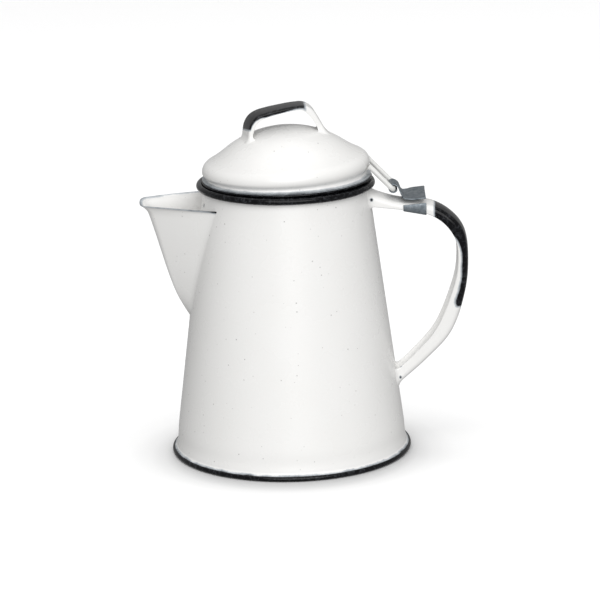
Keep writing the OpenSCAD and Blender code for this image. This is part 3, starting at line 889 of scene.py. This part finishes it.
def grip_ink(p, along, across, down):
    """Hand-brushed black on the lid's strap, from low on the spout end to the far bend."""
    a = p[0]
    up_leg = (p[2] - 25.2 + across) * 0.9 if a < -19 else 5
    limit = np.interp(a, [-24, -19, -15, -11, -1, 4, 8, 13],
                      [0.35, 0.45, 0.7, 1.05, 1.15, 0.95, 0.8, 0.7])
    slope = np.interp(a, [-15, -9], [7, 3.2])
    return min(up_leg, (13.8 - a) * 0.9 + 0.8 * across, (limit - down) * slope)


def make_grip():
    """The pressed channel strap over the lid."""
    face = [[-25.4, 12], [-24.3, 21], [-22.6, 28.6], [-19, 33.4], [-13, 36], [-1, 37.6], [8, 38.1],
            [13.5, 37.5], [17.8, 34.2], [21.2, 28.2], [27, 16.5]]
    lips = [[-22.8, 12], [-21.6, 21], [-19.7, 27], [-16.6, 30.8], [-12, 33.1], [-1, 34.9],
            [7.2, 35.5], [11.2, 34.8], [14.8, 31.6], [18, 26.2], [23.4, 15.5]]
    obj, rows, marks = sweep_channel("lid_grip_strap", face, lips, lambda f: GRIP_W, 1.1, 1.5, 0.15,
                                     1.2)
    nearest_ink(obj, rows, marks, grip_ink)
    for v in obj.data.vertices:
        twist = np.interp(v.co.x / MM, [-8, 18], [0, 9])
        v.co.x += (v.co.y + GRIP_W / 2 * MM) * math.tan(math.radians(twist))
    obj.data.transform(Matrix.Rotation(math.radians(GRIP_TURN), 4, "Z"))
    on_lid(obj)
    cut_inside(obj, lambda p: lid_height(p) + 0.2)
    stop_in_sheet(obj, lid_height, lid_normal)
    flow_onto(obj, lid_height, lid_normal, reach=2.4)
    return place(obj, "lid", "lid_handle", STRAP)


# ---- the pump inside ----

def finish_pump():
    """The pump's plain turned pieces keep their frame shapes and get spun aluminium."""
    for node in ("stem_foot", "valve_seat", "pump_valve", "pump_stem", "stem_collar",
                 "coffee_basket", "basket_sleeve", "spreader_lid", "spreader_collar"):
        obj = frame["nodes"][node]
        obj.data.materials.clear()
        obj.data.materials.append(ALUMINIUM)


make_body()
make_bead()
make_hem()
make_pan()
make_spout()
make_handle()
make_clip()
make_loop()
make_lid()
make_skirt()
make_grip()
finish_pump()


# ---- floor, light and camera ----

def make_floor():
    """A pale floor that turns up into a plain backdrop. Its material also has a painted shadow,
    grey close round the foot, on top of the cast shadow. The pot neither reflects it nor gets its
    bounce."""
    wide, front, back, high, corner = 6.0, -4.0, 3.0, 4.5, 1.2
    line = [(front, 0.0), (back - corner, 0.0)]
    line += [(back - corner + corner * math.sin(a), corner * (1 - math.cos(a)))
             for a in np.linspace(0, math.pi / 2, 16)[1:]]
    line += [(back, high)]
    rows = [[(x / MM, y / MM, z / MM) for x in (-wide, wide)] for y, z in line]
    floor = grid_piece("floor", rows)
    m = Nodes("floor_paper")
    # painted shadow: the floor's colour darkens to grey towards a point 14 mm in front of the pot's
    # axis
    away = m.add("ShaderNodeVectorMath", {0: m.where, 1: (0.0, -14 * MM, 0.0)}, operation="DISTANCE")
    away = away.outputs["Value"]
    pale, painted_shadow_grey = rgb(0.93, 0.93, 0.93), rgb(0.56, 0.56, 0.56)
    painted_shadow_start, painted_shadow_end = 66 * MM, 102 * MM
    m.join(m.mix(m.ramp(m.span(away, painted_shadow_start, painted_shadow_end), [
        (0.0, rgb(0, 0, 0)), (0.16, rgb(0.22, 0.22, 0.22)), (0.36, rgb(0.62, 0.62, 0.62)),
        (0.62, rgb(0.85, 0.85, 0.85)), (1.0, rgb(1, 1, 1))]), painted_shadow_grey, pale),
        m.shader.inputs["Base Color"])
    m.shader.inputs["Roughness"].default_value = 0.9
    floor.data.materials.append(m.material)
    floor.visible_diffuse = False
    floor.visible_glossy = False
    return floor


def sun(name, azimuth, elevation, strength, spread):
    """A broad soft light from far off; azimuth 0 stands behind the camera, 90 on the right."""
    data = bpy.data.lights.new(name, "SUN")
    data.energy, data.angle = strength, math.radians(spread)
    obj = bpy.data.objects.new(name, data)
    around, up = math.radians(azimuth), math.radians(elevation)
    source = Vector((math.sin(around) * math.cos(up), -math.cos(around) * math.cos(up), math.sin(up)))
    obj.rotation_euler = source.to_track_quat("Z", "Y").to_euler()
    bpy.context.scene.collection.objects.link(obj)
    return obj


def lights_only(lamp, objects):
    """Keeps a lamp to some objects, as flags and grids do in a studio. It still casts shadows."""
    group = bpy.data.collections.new(lamp.name + "_lit")
    for obj in objects:
        group.objects.link(obj)
    lamp.light_linking.receiver_collection = group


def make_lights(floor):
    """An overhead box that lights only the floor; a front and a top box that light only the pot."""
    world = bpy.data.worlds.new("surround")
    world.use_nodes = True
    world.node_tree.nodes["Background"].inputs["Color"].default_value = rgb(1, 1, 1)
    world.node_tree.nodes["Background"].inputs["Strength"].default_value = 0.37
    bpy.context.scene.world = world
    pot = [o for o in bpy.context.scene.objects if o.type == "MESH" and o != floor]
    lights_only(sun("overhead_box", 0, 90, 2.9, 90), [floor])
    lights_only(sun("front_box", 6, 30, 2.4, 60), pot)
    lights_only(sun("top_box", 180, 80, 0.62, 50), pot)


def make_camera():
    """The camera stands low in front of the pot, turned slightly clockwise."""
    data = bpy.data.cameras.new("camera")
    data.sensor_width, data.lens = 36, 180.7
    data.clip_end = 50
    camera = bpy.data.objects.new("camera", data)
    at = Vector((0.0072, -1.814, 0.568))
    aim = Vector((0.0072, 0, 0.0946))
    turn = (aim - at).to_track_quat("-Z", "Y").to_matrix().to_4x4()
    roll = Matrix.Rotation(math.radians(-1.35), 4, "Z")
    camera.matrix_world = Matrix.Translation(at) @ turn @ roll
    bpy.context.scene.collection.objects.link(camera)
    bpy.context.scene.camera = camera


make_lights(make_floor())
make_camera()
bpy.context.scene.view_settings.view_transform = "Standard"
